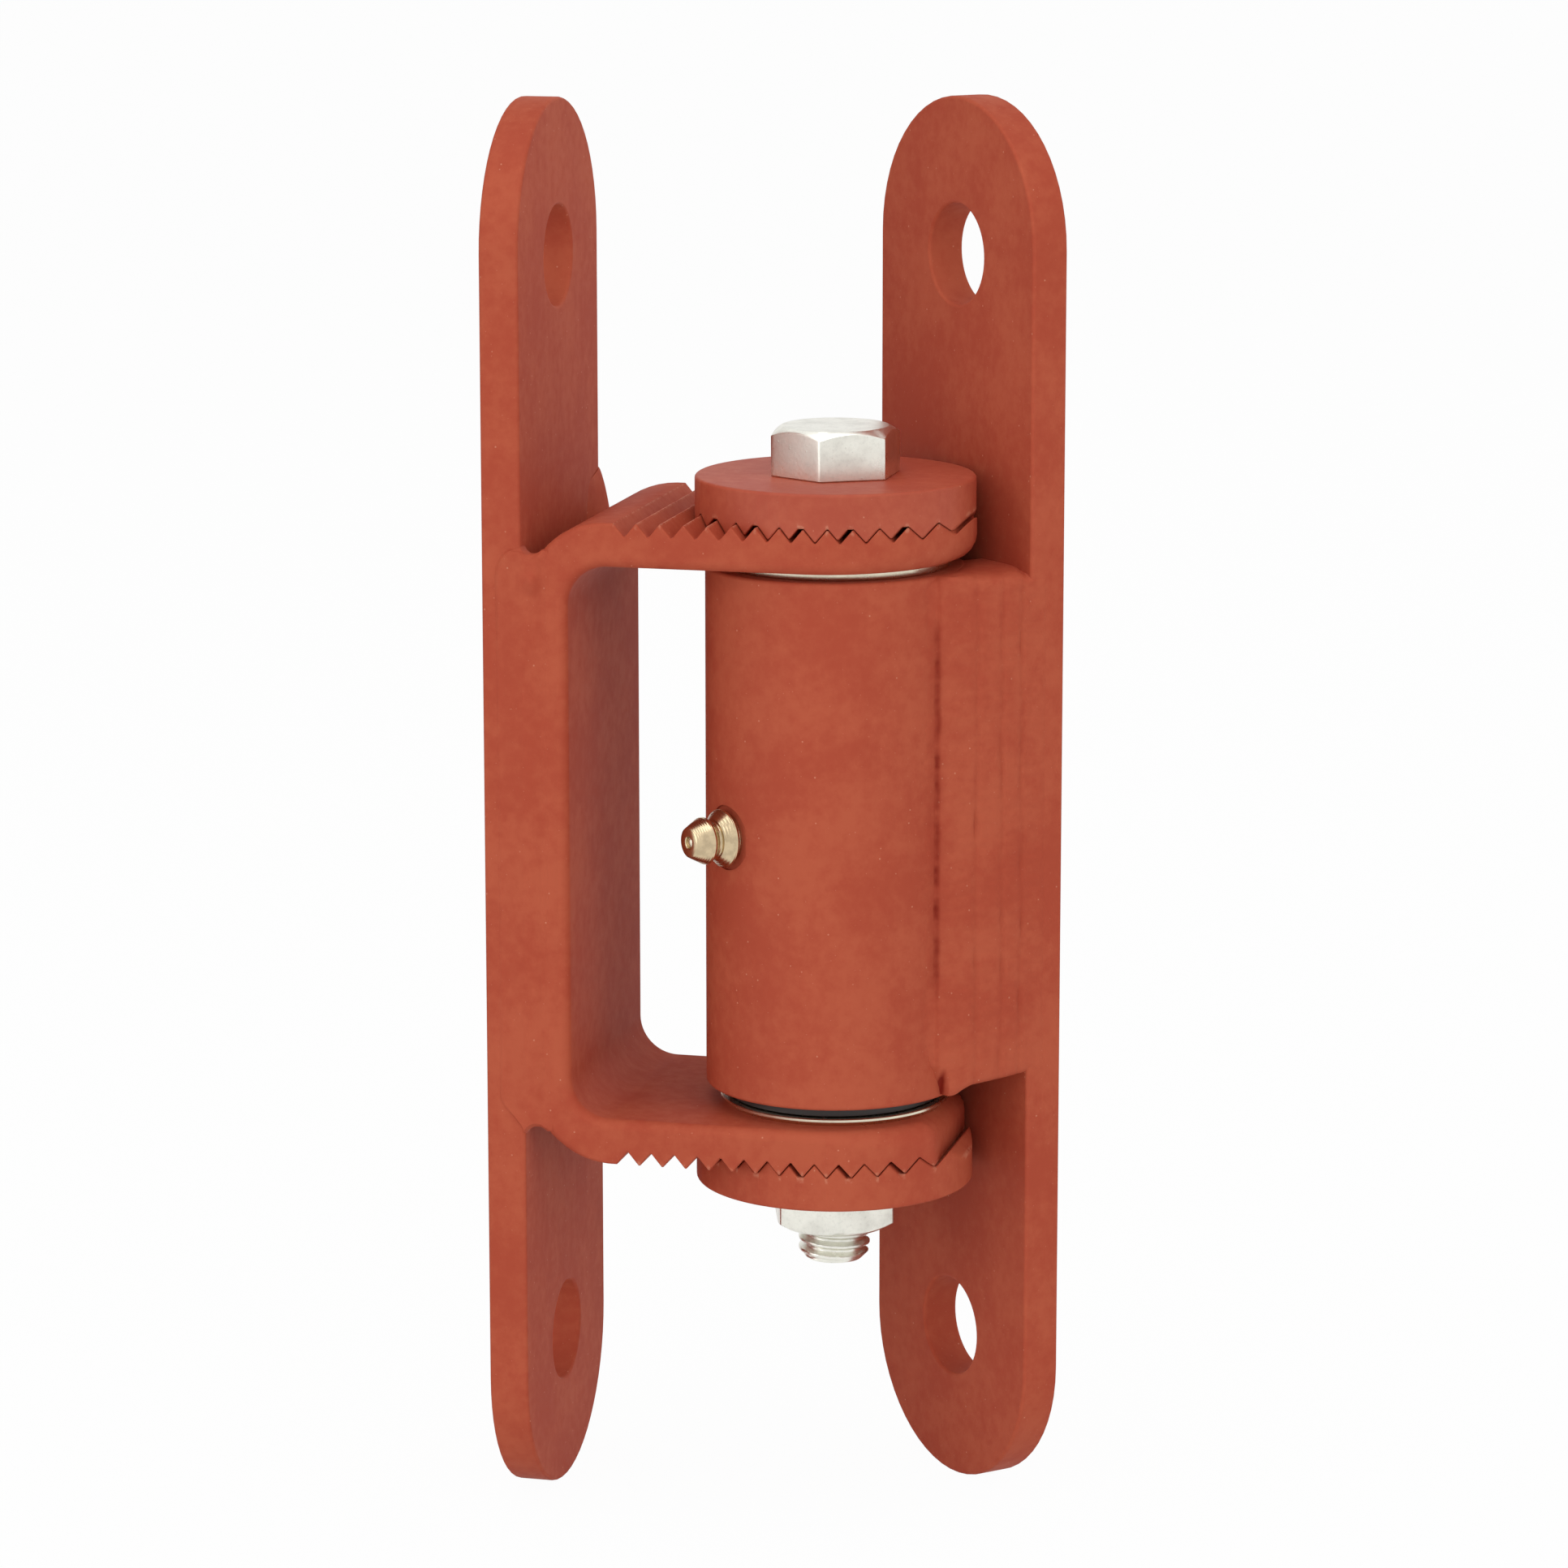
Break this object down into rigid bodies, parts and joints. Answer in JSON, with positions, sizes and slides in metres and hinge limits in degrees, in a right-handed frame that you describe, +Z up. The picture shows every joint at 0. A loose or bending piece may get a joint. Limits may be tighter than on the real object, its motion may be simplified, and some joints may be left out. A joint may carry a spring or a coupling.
{
  "type": "adjustable gate hinge",
  "caption": "Weld-on and screw-on gate hinge: a yoke with V-toothed arms clamps a greased pivot between serrated washers, with a round-ended plate for the post and one for the gate.",
  "frame": {"origin": "centre of the post plate's back face, midway between its two fixing holes", "axes": "+X from the post towards the gate across the pivot, +Y across the post plate to the left seen from the gate, +Z up along the pivot"},
  "size_m": [0.0756, 0.0525, 0.197],
  "materials": {
    "primer": "satin red-oxide primer over rolled steel",
    "zinc": "bright zinc plating",
    "bright_steel": "bare turned steel",
    "yellow_zinc": "yellow zinc plating with fine turning marks",
    "bush": "black nylon"
  },
  "bodies": {
    "yoke": {"yoke_bracket": "primer", "post_plate": "primer", "yoke_weld_front": "primer", "yoke_weld_rear": "primer", "upper_serrated_washer": "primer", "lower_serrated_washer": "primer", "pivot_bolt": "zinc", "pivot_nut": "zinc", "pivot_sleeve": "bright_steel", "upper_thrust_washer": "bright_steel", "lower_thrust_washer": "bright_steel"},
    "leaf": {"barrel": "primer", "upper_bush": "bush", "lower_bush": "bush", "gate_plate": "primer", "gate_weld_front": "primer", "gate_weld_rear": "primer", "nipple_body": "yellow_zinc", "nipple_spring": "bright_steel"},
    "check_ball": {"nipple_ball": "bright_steel"}
  },
  "joints": [
    {"name": "gate_swing", "type": "hinge", "parent": "yoke", "child": "leaf", "pos_m": [0.0447, 0, 0], "axis": [0, 0, 1], "range_deg": [-133.7, 46.3]},
    {"name": "ball_press", "type": "slide", "parent": "leaf", "child": "check_ball", "axis": [0.682, 0.7314, 0], "range_m": [0, 0.0008], "stiffness_N_per_m": 500, "springref_m": -0.001}
  ]
}
